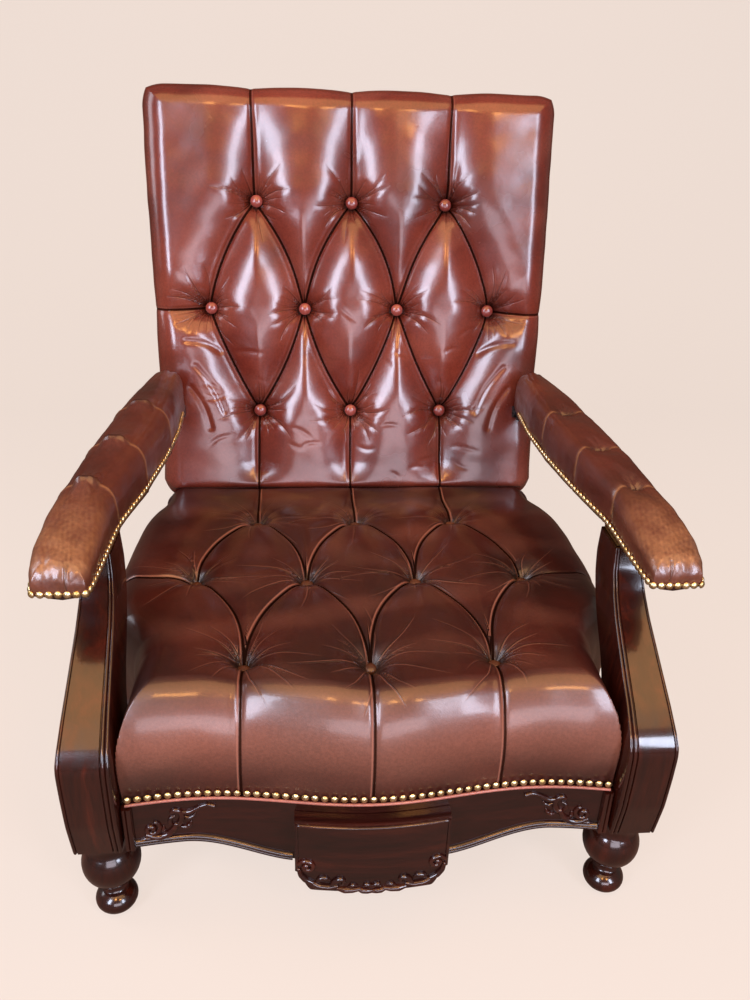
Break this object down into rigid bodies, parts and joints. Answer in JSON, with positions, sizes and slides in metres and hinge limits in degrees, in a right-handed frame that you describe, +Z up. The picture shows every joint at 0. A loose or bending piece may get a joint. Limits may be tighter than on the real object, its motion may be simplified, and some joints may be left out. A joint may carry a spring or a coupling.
{
  "type": "recliner armchair",
  "caption": "Deep-buttoned leather library armchair with a reclining back, sliding padded arms, turned front feet and a pull-out footrest in the serpentine apron.",
  "frame": {"origin": "on the floor, under the middle of the chair's bounding box", "axes": "+Z up, -Y towards the front of the seat, +X to the right seen from the front"},
  "size_m": [0.8484, 0.9921, 1.0816],
  "materials": {
    "mahogany": "polished",
    "beech": "sawn",
    "back_leather": "antiqued gloss",
    "seat_leather": "antiqued gloss",
    "arm_leather": "worn satin",
    "brass_nails": "polished",
    "brass_plate": "satin",
    "blackened_steel": "blackened",
    "spring_steel": "bright",
    "jute_webbing": "woven"
  },
  "bodies": {
    "frame": {"front_post_left": "mahogany", "front_post_right": "mahogany", "front_foot_left": "mahogany", "front_foot_right": "mahogany", "front_stile_left": "mahogany", "front_stile_right": "mahogany", "apron_bead_left": "mahogany", "apron_bead_right": "mahogany", "apron_carving_left": "mahogany", "apron_carving_right": "mahogany", "side_rail_left": "mahogany", "side_rail_right": "mahogany", "rear_leg_left": "mahogany", "rear_leg_right": "mahogany", "back_hinge_bracket_left": "blackened_steel", "back_hinge_bracket_right": "blackened_steel", "post_slide_plate_left": "brass_plate", "post_slide_plate_right": "brass_plate", "footrest_guide_left": "beech", "footrest_guide_right": "beech", "apron": "mahogany", "rear_rail": "mahogany", "seat_webbing": "jute_webbing", "seat_frame": "beech", "seat_springs": "spring_steel", "seat_cushion": "seat_leather", "seat_buttons": "seat_leather", "seat_nails_front": "brass_nails", "seat_nails_left": "brass_nails", "seat_nails_right": "brass_nails", "seat_welt": "seat_leather"},
    "backrest": {"back_stile_left": "beech", "back_stile_right": "beech", "back_hinge_plate_left": "blackened_steel", "back_hinge_plate_right": "blackened_steel", "arm_bracket_left": "blackened_steel", "arm_bracket_right": "blackened_steel", "back_top_rail": "beech", "back_bottom_rail": "beech", "back_webbing": "jute_webbing", "back_springs": "spring_steel", "back_cushion": "back_leather", "back_buttons": "back_leather", "outside_back": "back_leather"},
    "arm_left": {"arm_pad_left": "arm_leather", "arm_core_left": "mahogany", "arm_knuckle_left": "blackened_steel", "arm_slide_plate_left": "brass_plate", "arm_nails_left": "brass_nails"},
    "arm_right": {"arm_pad_right": "arm_leather", "arm_core_right": "mahogany", "arm_knuckle_right": "blackened_steel", "arm_slide_plate_right": "brass_plate", "arm_nails_right": "brass_nails"},
    "footrest": {"footrest_front": "mahogany", "footrest_carving": "mahogany", "footrest_board": "mahogany", "footrest_pad": "seat_leather", "footrest_runner_left": "beech", "footrest_runner_right": "beech"}
  },
  "joints": [
    {"name": "back_recline", "type": "hinge", "parent": "frame", "child": "backrest", "pos_m": [0, 0.262, 0.345], "axis": [-1, 0, 0], "range_deg": [0, 30]},
    {"name": "arm_left_swing", "type": "hinge", "parent": "backrest", "child": "arm_left", "pos_m": [-0.3198, 0.228, 0.5335], "axis": [1, 0, 0], "range_deg": [0, 29]},
    {"name": "arm_right_swing", "type": "hinge", "parent": "backrest", "child": "arm_right", "pos_m": [0.3198, 0.228, 0.5335], "axis": [1, 0, 0], "range_deg": [0, 29]},
    {"name": "footrest_slide", "type": "slide", "parent": "frame", "child": "footrest", "axis": [0, -1, 0], "range_m": [0, 0.3]}
  ],
  "couplings": [
    {"joint": "arm_left_swing", "follows": "back_recline", "ratio": 0.96},
    {"joint": "arm_right_swing", "follows": "back_recline", "ratio": 0.96}
  ]
}
